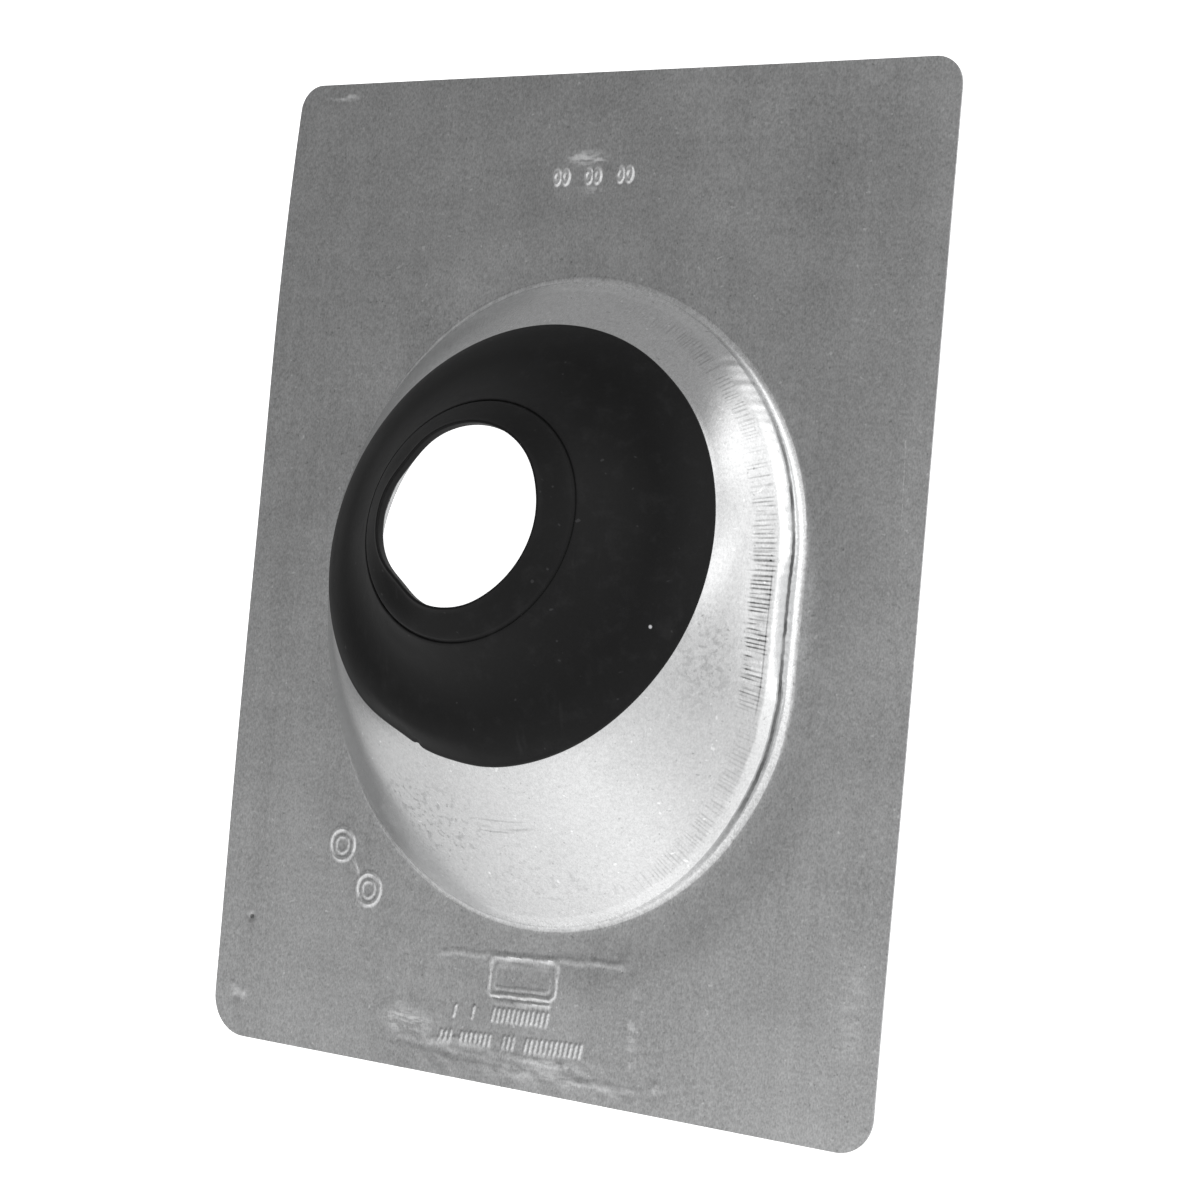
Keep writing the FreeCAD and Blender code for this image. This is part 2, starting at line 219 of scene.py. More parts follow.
# on the right the marks are as the object has them; on the left, a little fewer
for is_right, seed, sign in ((True, 1, 1), (False, 5, -1)):
    at = path_at(0.0, is_right)
    off += pulses(at - sign * 12, 46.0, 2.6, 0.30, 11.0, 5.0, 0.36, seed)
    off += pulses(at - sign * 34, 30.0, 2.2, 0.22, 8.5, 3.6, 0.36, seed + 1)
    off += pulses(at + sign * 46, 26.0, 2.3, 0.20, 9.5, 3.4, 0.40, seed + 2)
    off += pulses(at - sign * 78, 26.0, 2.2, 0.20, 6.0, 3.8, 0.45, seed + 3)
    off += pulses(at - sign * 118, 34.0, 2.7, 0.05, 5.0, 2.8, 0.60, seed + 4)
# a fine crease along the lower end of the marks
crease_y = (upper[MIDROW][:, 1][None, :])
off -= 0.16 * np.exp(-((sd - 6.8) / 0.5) ** 2) * np.exp(-((crease_y + 18) / 20) ** 4) * (upper[:, :, 0] > 0)

# soft waves over the drawn faces
psi = Q["psi"][None, :]
fade_d = smooth01(upper_d / 12.0) * smooth01((TOTAL[None, :] - upper_d) / 6.0)
off += fade_d * (0.20 * np.sin(3 * psi + 0.7) + 0.13 * np.sin(5 * psi + upper_d * 0.07 + 2.0)
                 + 0.07 * np.sin(9 * psi - upper_d * 0.11 + 0.4))
# knocks along the upright step: pushed out and in, more on the right
zz = upper[:, :, 2]
for y0, wy, z0, wz, a in ((19, 9, 6.5, 3.6, 0.50), (-9, 13, 5.0, 2.6, -0.10), (-40, 6, 6.0, 3.6, 0.55), (-55, 14, 7.0, 4.2, 0.45),
                          (48, 12, 7, 4, 0.25), (-66, 12, 7, 4, 0.30)):
    off += a * np.exp(-((side_y - y0) / wy) ** 2 - ((zz - z0) / wz) ** 2) * (upper[:, :, 0] > 60)
for y0, wy, z0, wz, a in ((30, 16, 6, 4, 0.35), (-12, 18, 7, 5, -0.30), (-50, 14, 7, 5, 0.3)):
    off += a * np.exp(-((side_y - y0) / wy) ** 2 - ((zz - z0) / wz) ** 2) * (upper[:, :, 0] < -60)
off += 0.06 * np.exp(-((zz - 6.5) / 2.5) ** 2) * (np.sin(side_y * 0.9 + 0.5) + np.sin(side_y * 1.7)) * (np.abs(upper[:, :, 0]) > 70)
off[0] = 0
off[-1] = 0
upper = upper + upper_n * off[..., None]
upper[-1, :, 2] = SHEET_T
lower_full = upper - upper_n * SHEET_T
LOW_R = CROWN_R - SHEET_T * math.sin(CROWN_SLOPE)
LOW_H = -SHEET_T * math.cos(CROWN_SLOPE)
lower_full[0] = tilt(LOW_R, LOW_H, ang)
lower_full[-1] = upper[-1]
lower_full[-1, :, 2] = 0.0

# crown and rim, radius and height along the tilted axis, from the crown circle round the hem and back
BREAK_H = (CROWN_R - CROWN_BREAK_R) * math.tan(CROWN_SLOPE)
CREST_ARC = (CROWN_BREAK_R - CREST_R) / math.sin(CROWN_SLOPE)
CREST_H = BREAK_H + CREST_ARC * (1 - math.cos(CROWN_SLOPE))
ROLL = ROLL_R - LIP_R
ROLL_CH = CREST_H - ROLL
t = SHEET_T
HEM_TOP = ROLL_CH - 0.35


def crest(o, k):
    return (CREST_R + (CREST_ARC - o) * math.sin(k), CREST_H - CREST_ARC + (CREST_ARC - o) * math.cos(k))


def roll(o, k):
    return (ROLL_R - (ROLL - o) * math.sin(k), ROLL_CH + (ROLL - o) * math.cos(k))


crown = [(83.5, (CROWN_R - 83.5) * math.tan(CROWN_SLOPE))]
crown += [crest(0, CROWN_SLOPE * k) for k in (1, 0.66, 0.33, 0)] + [(66.5, CREST_H)]
crown += [roll(0, math.radians(k)) for k in (0, 15, 30, 45, 60, 75, 90)]
crown += [(LIP_R, HEM_TOP - 0.05), (LIP_R - 0.03, HEM_TOP - 0.35), (LIP_R - 0.25, HEM_TOP - 0.38), (LIP_R - 0.45, HEM_TOP - 0.05),
          (LIP_R - 0.72, HEM_TOP - 0.03), (LIP_R - t, HEM_TOP - 0.12), (LIP_R - t, 7.6)]
crown += [(LIP_R - t * math.cos(math.radians(k)), LIP_BOTTOM_H - t * math.sin(math.radians(k))) for k in (0, 36, 72, 108, 144, 180)]
crown += [(LIP_R + t, ROLL_CH)] + [roll(t, math.radians(k)) for k in (65, 35, 0)]
crown += [crest(t, CROWN_SLOPE * k) for k in (0, 0.5, 1)]

metal = Rings()
i_up = [metal.points(r) for r in upper]
i_crown = [metal.points(tilt(r, h, ang)) for r, h in crown]
low_rows = [0, 3, 6, 9, 12, 14, 16, 18, 20, 24, 26, 28, 30, len(upper) - 1]
i_low = [metal.points(lower_full[j]) for j in low_rows]
for a, b in zip(i_up[1:], i_up[:-1]):
    metal.strip(a, b)
chain = [i_up[0]] + i_crown + [i_low[0]]
for a, b in zip(chain[:-1], chain[1:]):
    metal.strip(a, b)
for a, b in zip(i_low[:-1], i_low[1:]):
    metal.strip(a, b)


# -------------------------------------------------------------------- flange
def outline():
    """The flange's outline, anticlockwise from above, as points about 5 mm apart."""
    x, y = FLANGE_W / 2, FLANGE_L / 2
    pts = []

    def seg(p, q):
        n = max(2, int(math.hypot(q[0] - p[0], q[1] - p[1]) / 5.0))
        pts.extend([(p[0] + (q[0] - p[0]) * k / n, p[1] + (q[1] - p[1]) * k / n) for k in range(n)])

    def arc(cx, cy, r, a0, a1, n=14):
        pts.extend([(cx + r * math.cos(math.radians(a0 + (a1 - a0) * k / n)),
                     cy + r * math.sin(math.radians(a0 + (a1 - a0) * k / n))) for k in range(n)])

    rise = y - BOW_START - R_TL
    bow_r = rise * rise / (2 * BOW_IN)
    bx = -x + bow_r
    cy = y - R_TL
    cx = bx - math.sqrt((bow_r - R_TL) ** 2 - (cy - BOW_START) ** 2)
    lean = math.degrees(math.atan2(cy - BOW_START, bx - cx))
    seg((x, -y + R_BR), (x, y - R_TR))
    arc(x - R_TR, y - R_TR, R_TR, 0, 90)
    seg((x - R_TR, y), (cx, y))
    arc(cx, cy, R_TL, 90, 180 - lean)
    n = 24
    for k in range(n):
        a = math.radians(180 - lean + lean * k / n)
        pts.append((bx + bow_r * math.cos(a), BOW_START + bow_r * math.sin(a)))
    seg((-x, BOW_START), (-x, -y + R_BL))
    arc(-x + R_BL, -y + R_BL, R_BL, 180, 270)
    seg((-x + R_BL, -y), (x - R_BR, -y))
    arc(x - R_BR, -y + R_BR, R_BR, 270, 360)
    return np.array(pts)


OUT = outline()
HOLE = upper[-1][:, :2]


def inside_out(P, m):
    """Points well inside the flange's outline and outside the dome's base, by m millimetres."""
    x, y = P[:, 0], P[:, 1]
    yy = np.clip(y, BASE_Y_BOT, BASE_Y_TOP)
    far = np.hypot(x, y - yy) > BASE_R + 3.2 + m
    ok = (np.abs(x) < FLANGE_W / 2 - m) & (np.abs(y) < FLANGE_L / 2 - m)
    ok &= x > -FLANGE_W / 2 + m + BOW_IN * np.clip((y - BOW_START) / 110, 0, 1.1) ** 2
    for sx, sy, r in ((-1, 1, R_TL + 3), (1, 1, R_TR), (1, -1, R_BR), (-1, -1, R_BL)):
        cx, cy = sx * (FLANGE_W / 2 - r), sy * (FLANGE_L / 2 - r)
        corner = ((x - cx) * sx > 0) & ((y - cy) * sy > 0)
        ok &= ~corner | (np.hypot(x - cx, y - cy) < r - m)
    return ok & far


def grid(x0, x1, y0, y1, step):
    gx, gy = np.meshgrid(np.arange(x0, x1 + 1e-6, step), np.arange(y0, y1 + 1e-6, step))
    gx = gx + np.where((np.arange(gx.shape[0]) % 2)[:, None] == 1, step / 2, 0)
    return np.stack([gx.ravel(), gy.ravel()], 1)


FINE = [(-23, 21, 157, 166, 0.5), (-22, 18, -173.5, -151, 0.7), (-42, 35, -189, -170.5, 0.62), (-66, 72, -199, -189.0, 1.2),
        (-46, 54, -156, -146, 1.1), (47, 54, -189, -156, 1.2), (-105, -74, -142, -109, 0.6), (-146, -139, -156, -149, 0.7), (90, 97, -99, -93, 0.7),
        (-152, -141, -189, -179, 0.8)]
pts = [grid(-156, 156, -201, 201, 5.5)]
for x0, x1, y0, y1, s in FINE:
    for k, old in enumerate(pts):
        out_ = (old[:, 0] < x0 - s) | (old[:, 0] > x1 + s) | (old[:, 1] < y0 - s) | (old[:, 1] > y1 + s)
        pts[k] = old[out_]
    pts.append(grid(x0, x1, y0, y1, s))
inner = np.concatenate([p[inside_out(p, 1.6)] for p in pts])
# rings that ease the close columns of the dome into the wide grid of the flange
ease = []
for dist, every in ((1.2, 2), (3.2, 4)):
    k = np.arange(0, N, every)
    c = HOLE[k] - np.stack([0 * k, np.clip(HOLE[k][:, 1], BASE_Y_BOT, BASE_Y_TOP)], 1)
    ease.append(HOLE[k] + c / np.linalg.norm(c, axis=1, keepdims=True) * dist)
far = np.ones(len(inner), bool)
yy = np.clip(inner[:, 1], BASE_Y_BOT, BASE_Y_TOP)
far &= np.hypot(inner[:, 0], inner[:, 1] - yy) > BASE_R + 8.5
inner = np.concatenate([inner[far]] + ease)

all2 = np.concatenate([HOLE, OUT, inner])
loops = [list(range(N)), list(range(N, N + len(OUT)))]
edges = [(l[i], l[(i + 1) % len(l)]) for l in loops for i in range(len(l))]
co, _, tri, orig, _, _ = delaunay_2d_cdt([Vector(p) for p in all2], edges, [], 0, 1e-7)
co = np.array([(p.x, p.y) for p in co])
assert len(co) == len(all2) and np.allclose(co, all2, atol=1e-5)
tri = np.array([t3 for t3 in tri])
cen = co[tri].mean(1)


def in_poly(P, L):
    x, y = P[:, 0][:, None], P[:, 1][:, None]
    x1, y1 = L[:, 0][None], L[:, 1][None]
    x2, y2 = np.roll(L[:, 0], -1)[None], np.roll(L[:, 1], -1)[None]
    hit = ((y1 > y) != (y2 > y)) & (x < (x2 - x1) * (y - y1) / (y2 - y1 + 1e-30) + x1)
    return hit.sum(1) % 2 == 1


keep = in_poly(cen, OUT) & ~in_poly(cen, HOLE)
tri = tri[keep]
a, b, c = co[tri[:, 0]], co[tri[:, 1]], co[tri[:, 2]]
ccw = (b[:, 0] - a[:, 0]) * (c[:, 1] - a[:, 1]) - (b[:, 1] - a[:, 1]) * (c[:, 0] - a[:, 0]) > 0
tri[~ccw] = tri[~ccw][:, ::-1]


def flat_shape(P):
    """Height of the flange's upper face above flat, in millimetres: long waves in the sheet."""
    x, y = P[:, 0], P[:, 1]
    yy = np.clip(y, BASE_Y_BOT, BASE_Y_TOP)
    away = smooth01((np.hypot(x, y - yy) - BASE_R - 4) / 25)
    w = 0.30 * np.sin(x / 47 + y / 90 + 0.6) + 0.25 * np.sin(x / 80 - y / 41 + 2.1) + 0.12 * np.sin(x / 21 + 1.0) * np.cos(y / 27)
    return away * (w + 0.67)


top_z = flat_shape(co)
emb = np.zeros(len(co))


def seg_dist(P, p, q):
    p, q = np.array(p, float), np.array(q, float)
    d = q - p
    t_ = np.clip(((P - p) @ d) / max(d @ d, 1e-9), 0, 1)
    return np.hypot(*(P - p - t_[:, None] * d).T)


def ridge(dist, half, h):
    """Rounded rib of the given height, half as wide as the second number."""
    return h * smooth01((half - dist) / (0.75 * half) + 0.5) * (dist < half * 1.4)


def stroke(P, pts_, half, h):
    d = np.min([seg_dist(P, a_, b_) for a_, b_ in zip(pts_[:-1], pts_[1:])], axis=0)
    return ridge(d, half, h)


# the raised marks on the flange, as plain shapes: date-stamp zeros near the top edge, a panel with a
# blank plaque and two rows of bars near the bottom edge, and two rings on the left
mark = np.zeros(len(co))
for x0 in (-18.2, -14.0, -3.1, 1.1, 12.0, 16.2):
    d = np.abs(np.hypot((co[:, 0] - x0) / 1.35, (co[:, 1] - 161.5 - 0.02 * x0) / 2.3) - 1.0) * 1.6
    mark = np.maximum(mark, ridge(d, 0.80, 0.38))
tilt_m = 0.058                                   # the panel's lines climb a little to the right


def slant(x_, y_):
    return (x_, y_ + tilt_m * x_)


def box_pts(x0, x1, y0, y1, cut=1.2):
    q_ = [(x0 + cut, y0), (x1 - cut, y0), (x1, y0 + cut), (x1, y1 - cut), (x1 - cut, y1), (x0 + cut, y1), (x0, y1 - cut), (x0, y0 + cut), (x0 + cut, y0)]
    return [slant(*k_) for k_ in q_]


mark = np.maximum(mark, stroke(co, box_pts(-17.5, 14.5, -166.6, -151.6, 1.6), 0.7, 0.30))
mark = np.maximum(mark, stroke(co, box_pts(-14.6, 11.6, -163.8, -154.4, 1.0), 0.45, 0.12))
mark = np.maximum(mark, stroke(co, [slant(-20.5, -169.0), slant(12.5, -169.0)], 0.55, 0.26))
r_ = np.random.default_rng(11)
for y_mid, spans in ((-174.6, ((-33, -31), (-24, -22), (-14, 12))), (-185.4, ((-39, -33), (-29, -14), (-8, -2), (3, 30)))):
    for x0, x1 in spans:
        x_ = x0
        while x_ <= x1:
            hgt = 2.3
            mark = np.maximum(mark, stroke(co, [slant(x_ - 0.35, y_mid - hgt), slant(x_ + 0.35, y_mid + hgt)], 0.55, 0.26 + 0.08 * r_.random()))
            x_ += 2.35
for cx_, cy_, rx_, ry_ in ((-97.6, -116.6, 6.0, 6.4), (-82.0, -133.4, 6.0, 6.4)):
    rad_ = np.hypot((co[:, 0] - cx_) / rx_, (co[:, 1] - cy_) / ry_)
    mark = np.maximum(mark, ridge(np.abs(rad_ - 1.0) * rx_, 0.75, 0.34))
    mark = np.maximum(mark, ridge(np.abs(rad_ - 0.52) * rx_, 0.55, 0.24))
mark = np.maximum(mark, stroke(co, [(-91.8, -120.6), (-87.2, -128.6)], 0.5, 0.22))
# the panel's own border: pressed a little, sharper along its top and right sides
border = [(-43, -153.6), (-20, -152.2), (10, -150.2), (45, -147.7), (49.5, -150.5), (50.3, -170), (50.6, -192)]
emb += mark
emb += stroke(co, border[:4], 0.6, 0.18) + 0.5 * stroke(co, border[3:], 0.8, 0.12)
inner_p = smooth01((co[:, 0] + 46) / 4) * smooth01((51 - co[:, 0]) / 3) * smooth01((co[:, 1] + 197) / 5) * smooth01((-149.5 + 0.055 * co[:, 0] - co[:, 1]) / 3)
emb -= 0.10 * inner_p
# creases and rubbed metal below the rows
for a_, b_, h_, k_ in (((-62, -183.5), (-44, -190), 0.9, 0.16), ((-44, -190), (-30, -187), 0.8, 0.14), ((-26, -190.5), (4, -192.5), 0.6, -0.10),
                       ((-8, -191), (22, -190.5), 0.7, 0.15), ((-60, -192), (-10, -195), 0.8, -0.12), ((20, -196), (62, -195.5), 0.8, 0.12),
                       ((40, -197.5), (70, -194.5), 0.6, -0.10), ((-112, -157.5), (-96, -155.5), 0.7, -0.08)):
    emb += stroke(co, [a_, b_], h_, k_)
nz = r_.random((40, 4))
zone = smooth01((co[:, 0] + 70) / 14) * smooth01((70 - co[:, 0]) / 14) * smooth01((-184 - co[:, 1]) / 6)
wob = sum(np.sin(co[:, 0] * (0.25 + 0.5 * n_[0]) + co[:, 1] * (0.3 + 0.9 * n_[1]) + 6.28 * n_[2]) for n_ in nz[:10]) / 10
emb += 0.16 * zone * wob
# small knocks: a pit on the left, a dimple or two, the rubbed lower left corner
for x_, y_, r0_, k_ in ((-142.3, -152.3, 1.5, -0.45), (92.3, -95.6, 1.0, 0.25), (94.2, -97.2, 0.8, 0.2), (157, 21, 1.2, -0.2), (64, -192, 1.2, 0.2),
                        (-147, -186.5, 1.6, -0.3), (-143.5, -184.5, 1.2, 0.25), (-149.5, -181.5, 1.4, 0.2)):
    emb += k_ * np.exp(-((co[:, 0] - x_) ** 2 + (co[:, 1] - y_) ** 2) / r0_ ** 2)
emb[:N] = 0
Ptop = np.c_[co, SHEET_T + top_z + emb]
Pbot = np.c_[co, top_z]
ids_top = np.concatenate([i_up[-1], metal.points(Ptop[N:])])
ids_bot = np.concatenate([i_low[-1], metal.points(Pbot[N:])])
metal.f.extend(ids_top[tri].tolist())
metal.f.extend(ids_bot[tri][:, ::-1].tolist())
lo, hi = ids_bot[N:N + len(OUT)], ids_top[N:N + len(OUT)]
metal.f.extend(np.stack([lo, np.roll(lo, -1), np.roll(hi, -1), hi], 1).tolist())


def make(name, rings, scale=MM):
    me = bpy.data.meshes.new(name)
    V3 = np.concatenate(rings.v) * scale
    me.from_pydata(V3.tolist(), [], rings.f)
    me.validate()
    me.update()
    o = bpy.data.objects.new(name, me)
    scene.collection.objects.link(o)
    me.shade_smooth()
    return o


o_metal = make("metal_base_sheet", metal)
o_metal.data.set_sharp_from_angle(angle=math.radians(32))
# two measures carried on the sheet for its finish: how far above (or below) the step's corner, and how
# far round the dome
wall_t = np.full(len(o_metal.data.vertices), 99.0)
wall_s = np.zeros(len(wall_t))
wall_t[:sd.size] = sd.ravel()
top_i = int(np.argmin(np.abs(ang - math.pi / 2)))
wall_s[:sd.size] = np.broadcast_to((path - path[top_i]) % round_len, sd.shape).ravel()
wall_t[ids_top[N:]] = -60.0
raised = np.zeros(len(wall_t))
raised[ids_top[N:]] = np.clip(mark[N:] / 0.30, 0, 1)
for nm_, v_ in (("wall_t", wall_t), ("wall_s", wall_s), ("raised", raised)):
    at_ = o_metal.data.attributes.new(nm_, "FLOAT", "POINT")
    at_.data.foreach_set("value", v_.astype(np.float32))
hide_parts("metal_base")
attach(o_metal, "root")

# -------------------------------------------------------------------- collar
def arc3(p, q, r, n):
    """n points along the arc through p, q, r, without the last."""
    ax, ay, bx, by, cx, cy = *p, *q, *r
    d = 2 * (ax * (by - cy) + bx * (cy - ay) + cx * (ay - by))
    ux = ((ax * ax + ay * ay) * (by - cy) + (bx * bx + by * by) * (cy - ay) + (cx * cx + cy * cy) * (ay - by)) / d
    uy = ((ax * ax + ay * ay) * (cx - bx) + (bx * bx + by * by) * (ax - cx) + (cx * cx + cy * cy) * (bx - ax)) / d
    R = math.hypot(ax - ux, ay - uy)
    t0, t1, t2 = (math.atan2(k[1] - uy, k[0] - ux) for k in (p, q, r))
    while t1 - t0 > math.pi: t1 -= 2 * math.pi
    while t1 - t0 < -math.pi: t1 += 2 * math.pi
    while t2 - t1 > math.pi: t2 -= 2 * math.pi
    while t2 - t1 < -math.pi: t2 += 2 * math.pi
    return [(ux + R * math.cos(t0 + (t2 - t0) * k / n), uy + R * math.sin(t0 + (t2 - t0) * k / n)) for k in range(n)]


def curve(pts, n):
    """Smooth curve through points (natural cubic over chord length), n points without the last."""
    P = np.array(pts, float)
    s = np.concatenate([[0], np.cumsum(np.linalg.norm(np.diff(P, axis=0), axis=1))])
    m = len(P)
    h = np.diff(s)
    A = np.zeros((m, m)); B = np.zeros((m, 2))
    A[0, 0] = A[-1, -1] = 1
    for i in range(1, m - 1):
        A[i, i - 1], A[i, i], A[i, i + 1] = h[i - 1], 2 * (h[i - 1] + h[i]), h[i]
        B[i] = 6 * ((P[i + 1] - P[i]) / h[i] - (P[i] - P[i - 1]) / h[i - 1])
    M = np.linalg.solve(A, B)
    out = []
    for q in np.linspace(0, s[-1], n + 1)[:-1]:
        i = min(int(np.searchsorted(s, q, side="right")) - 1, m - 2)
        x0, x1 = s[i + 1] - q, q - s[i]
        out.append(tuple(M[i] * x0 ** 3 / (6 * h[i]) + M[i + 1] * x1 ** 3 / (6 * h[i])
                         + (P[i] / h[i] - M[i] * h[i] / 6) * x0 + (P[i + 1] / h[i] - M[i + 1] * h[i] / 6) * x1))
    return out


HOLE_R, LAND_LO, LAND_HI = 36.0, 38.6, 41.6
RING_R, RING_H, SCORE_W, SCORE_DEPTH = 47.3, 34.3, 1.5, 1.25
S_IN = math.radians(36.7)
outer_pts = [(88.15, 2.75), (86.4, 4.6), (83.4, 7.3), (80.0, 9.75), (76.0, 12.15), (72.8, 13.75), (70.2, 15.0),
             (66.6, 17.0), (63.0, 19.35), (59.0, 22.45), (55.0, 26.1), (51.4, 29.8), (48.2, 33.35)]
ring_in = (RING_R - SCORE_W / 2, RING_H + SCORE_W / 2 * math.tan(S_IN))
score_low = (RING_R + 0.15, RING_H - SCORE_DEPTH)
lip_out = (37.3, ring_in[1] + (ring_in[0] - 37.3) * math.tan(S_IN))
inner_pts = [(44.9, 32.75), (46.35, 31.45), (49.4, 28.0), (53.0, 24.2), (57.15, 20.35), (61.3, 17.05), (64.2, 14.85), (66.2, 13.0)]
edge_low = (88.5, (CROWN_R - 88.5) * math.tan(CROWN_SLOPE))
prof = []
prof += arc3(edge_low, (CROWN_R, 1.25), outer_pts[0], 6)
n_outer0 = len(prof)
prof += curve(outer_pts, 44)
# the score's edges are slightly rounded
prof += [outer_pts[-1], (47.95, 33.45), (47.75, 33.35), (47.55, 33.12), (47.48, 33.05), (47.38, 33.08), (46.9, 34.1), (46.72, 34.55), (46.55, 34.78), (46.3, 35.02)]
n_in0 = len(prof)
prof += [(46.3 + (lip_out[0] - 46.3) * k / 7, 35.04 + (lip_out[1] - 35.04) * k / 7) for k in range(1, 7)]
prof += arc3(lip_out, (36.35, 42.27), (HOLE_R, LAND_HI), 5)
prof += [(HOLE_R, LAND_HI), (HOLE_R, 40.6), (HOLE_R, 39.6)]
prof += arc3((HOLE_R, LAND_LO), (36.45, 37.75), (37.4, 37.4), 4)
prof += curve([(37.4, 37.4), (38.8, 37.05), (40.6, 35.95), inner_pts[0]], 5)
prof += curve(inner_pts, 14)
prof += [inner_pts[-1], (67.4, CREST_H), (CREST_R, CREST_H)]
prof += [crest(0, CROWN_SLOPE * k) for k in (0.5, 1.0)] + [(83.5, (CROWN_R - 83.5) * math.tan(CROWN_SLOPE))]
NC = 480
ca = np.arange(NC) * 2 * math.pi / NC
rr = np.array([p[0] for p in prof])[:, None] + 0 * ca[None]
hh = np.array([p[1] for p in prof])[:, None] + 0 * ca[None]
A2 = ca[None] + 0 * rr
# a moulding that has been handled: its outer edge pulled in at the lower left with a small nick,
# its hole a little flattened, and soft waves in the skirt


def bump(deg, width):
    d = np.degrees((A2 - math.radians(deg) + math.pi) % (2 * math.pi) - math.pi)
    return np.exp(-(d / width) ** 2)


edge_w = smooth01((rr - 80) / 8)
rr -= edge_w * (2.3 * bump(-114, 12) + 1.0 * bump(-96, 9) + 0.7 * bump(-107.5, 1.0) * (hh < 4) + 0.35 * bump(52, 10) + 0.3 * bump(-40, 14))
hole_w = smooth01((45 - rr) / 7)
rr -= hole_w * (2.2 * bump(-127, 19) + 1.6 * bump(146, 18) + 0.4 * bump(20, 18) - 0.3 * bump(-70, 14))
skin = smooth01((rr - 50) / 6) * smooth01((hh + 2) / 4)
hh += skin * (0.22 * np.sin(3 * A2 + 1.1) + 0.16 * np.sin(5 * A2 + 0.4 + rr / 11) + 0.10 * np.sin(8 * A2 - rr / 9)) * smooth01((88 - rr) / 8)
Pc = tilt(rr, hh, A2)
collar = Rings()
ic = [collar.points(r) for r in Pc]
for a_, b_ in zip(ic, ic[1:] + ic[:1]):
    collar.strip(a_, b_)
o_collar = make("collar_moulding", collar)
o_collar.data.set_sharp_from_angle(angle=math.radians(50))
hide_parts("rubber_collar")
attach(o_collar, "root")


# ----------------------------------------------------------------- materials
def mat(name):
    m = bpy.data.materials.new(name)
    m.use_nodes = True
    nt = m.node_tree
    nt.nodes.clear()
    out = nt.nodes.new("ShaderNodeOutputMaterial")
    b = nt.nodes.new("ShaderNodeBsdfPrincipled")
    nt.links.new(b.outputs[0], out.inputs[0])
    return m, nt, b


def node(nt, kind, ins=None, **attrs):
    n = nt.nodes.new("ShaderNode" + kind)
    for k, v in attrs.items():
        setattr(n, k, v)
    for k, v in (ins or {}).items():
        if isinstance(v, bpy.types.NodeSocket):
            nt.links.new(v, n.inputs[k])
        else:
            n.inputs[k].default_value = v
    return n


class Net:
    """Small helpers for building a material's nodes."""

    def __init__(self, nt):
        self.nt = nt
        self.co = nt.nodes.new("ShaderNodeTexCoord").outputs["Object"]

    def vec(self, op, a, b=None, **kw):
        n = node(self.nt, "VectorMath", operation=op)
        for i, v in enumerate((a, b)):
            if v is None:
                continue
            if isinstance(v, bpy.types.NodeSocket):
                self.nt.links.new(v, n.inputs[i])
            else:
                n.inputs[i].default_value = v
        if "scale" in kw:
            n.inputs["Scale"].default_value = kw["scale"]
        return n.outputs["Value"] if op in ("DOT_PRODUCT", "LENGTH", "DISTANCE") else n.outputs["Vector"]

    def math(self, op, a, b=None, c=None, clamp=False):
        n = node(self.nt, "Math", operation=op, use_clamp=clamp)
        for i, v in enumerate((a, b, c)):
            if v is None:
                continue
            if isinstance(v, bpy.types.NodeSocket):
                self.nt.links.new(v, n.inputs[i])
            else:
                n.inputs[i].default_value = v
        return n.outputs[0]

    def noise(self, scale, detail=2.0, rough=0.5, stretch=(1, 1, 1), shift=(0, 0, 0), kind="TexNoise"):
        m_ = node(self.nt, "Mapping", {"Vector": self.co})
        m_.inputs["Scale"].default_value = stretch
        m_.inputs["Location"].default_value = shift
        n = node(self.nt, kind, {"Vector": m_.outputs[0], "Scale": scale})
        if kind == "TexNoise":
            n.inputs["Detail"].default_value = detail
            n.inputs["Roughness"].default_value = rough
            return n.outputs["Fac"]
        return n.outputs["Distance"]

    def ramp(self, v, a, b, lo=0.0, hi=1.0):
        n = node(self.nt, "MapRange", {"Value": v, "From Min": a, "From Max": b, "To Min": lo, "To Max": hi}, interpolation_type="SMOOTHSTEP")
        return n.outputs["Result"]

    def spot(self, centre, radius, soft=0.5):
        """1 inside an ellipsoid about the centre (mm), 0 outside."""
        d = self.vec("SUBTRACT", self.co, tuple(v * MM for v in centre))
        d = self.vec("DIVIDE", d, tuple(v * MM for v in radius))
        return self.ramp(self.vec("LENGTH", d), 1.0, 1.0 - soft)

    def line(self, p, q, half):
        """1 along the segment from p to q (mm), 0 farther than half a width from it."""
        p, q = np.array(p, float) * MM, np.array(q, float) * MM
        d = q - p
        pa = self.vec("SUBTRACT", self.co, tuple(p))
        h = self.math("DIVIDE", self.vec("DOT_PRODUCT", pa, tuple(d)), float(d @ d), clamp=True)
        n = node(self.nt, "VectorMath", operation="SCALE")
        n.inputs[0].default_value = tuple(d)
        self.nt.links.new(h, n.inputs["Scale"])
        return self.ramp(self.vec("DISTANCE", pa, n.outputs["Vector"]), half * MM, half * 0.2 * MM)


